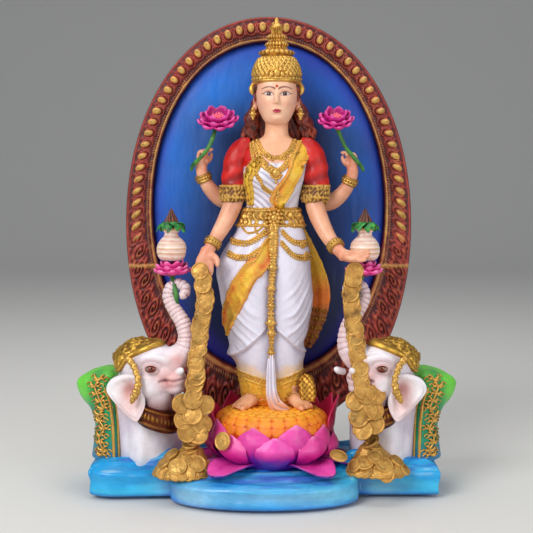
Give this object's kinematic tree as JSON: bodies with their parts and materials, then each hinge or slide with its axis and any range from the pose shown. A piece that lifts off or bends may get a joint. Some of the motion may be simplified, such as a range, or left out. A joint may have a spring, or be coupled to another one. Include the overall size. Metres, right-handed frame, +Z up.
{
  "type": "hindu deity statue",
  "caption": "Painted resin statue of a goddess standing on a lotus before an oval backplate, with elephants, coins and a water base",
  "frame": {"origin": "centre of the felt pad's underside, below the middle of the statue's bounding box", "axes": "+Z up, +X to the right of someone facing the statue, +Y from the viewer towards the backplate"},
  "size_m": [0.138, 0.058, 0.1712],
  "materials": {
    "felt": "short dense felt",
    "water_paint": "hand-brushed cyan paint on cast resin",
    "maroon_paint": "maroon paint with gold dry brushing on the relief",
    "blue_paint": "hand-brushed cobalt blue, satin",
    "orange_paint": "yellow to orange paint with gold edging",
    "gold_paint": "gold pigment paint on cast resin",
    "pink_paint": "magenta paint shaded to violet",
    "skin_paint": "peach skin paint, satin",
    "white_paint": "off-white paint shaded pink and grey",
    "brown_paint": "reddish brown paint",
    "red_paint": "red paint, satin",
    "green_paint": "green paint shaded to teal"
  },
  "bodies": {
    "root": {"felt_pad": "felt", "water_base": "water_paint", "back_frame": "maroon_paint", "back_panel": "blue_paint", "frame_bosses": "gold_paint", "lotus_lower_petals": "pink_paint", "lotus_upper_petals": "pink_paint", "seed_pod": "orange_paint", "foot_right": "skin_paint", "foot_left": "skin_paint", "skirt": "white_paint", "torso": "white_paint", "skirt_sash": "orange_paint", "skirt_tassel": "gold_paint", "pallu_shoulder": "orange_paint", "pallu_tail": "orange_paint", "waist_belt": "gold_paint", "necklaces": "gold_paint", "head": "skin_paint", "hair": "brown_paint", "earrings": "gold_paint", "crown": "gold_paint", "sleeve_right": "red_paint", "sleeve_left": "red_paint", "arm_front_right": "skin_paint", "arm_front_left": "skin_paint", "arm_rear_right": "skin_paint", "arm_rear_left": "skin_paint", "bangles": "gold_paint", "hand_lotus_right": "pink_paint", "hand_lotus_left": "pink_paint", "coin_stream_right": "gold_paint", "coin_stream_left": "gold_paint", "coin_heap_right": "gold_paint", "coin_heap_left": "gold_paint", "loose_coins": "gold_paint", "elephant_body_right": "white_paint", "elephant_body_left": "white_paint", "elephant_head_right": "white_paint", "elephant_head_left": "white_paint", "trunk_right": "white_paint", "trunk_left": "white_paint", "elephant_ears_right": "white_paint", "elephant_ears_left": "white_paint", "tusk_right": "white_paint", "tusk_left": "white_paint", "headdress_right": "gold_paint", "headdress_left": "gold_paint", "collar_right": "gold_paint", "collar_left": "gold_paint", "saddle_cloth_right": "green_paint", "saddle_cloth_left": "green_paint", "trunk_lotus_right": "pink_paint", "trunk_lotus_left": "pink_paint", "kalash_right": "white_paint", "kalash_left": "white_paint", "coconut_right": "green_paint", "coconut_left": "green_paint"}
  },
  "joints": []
}
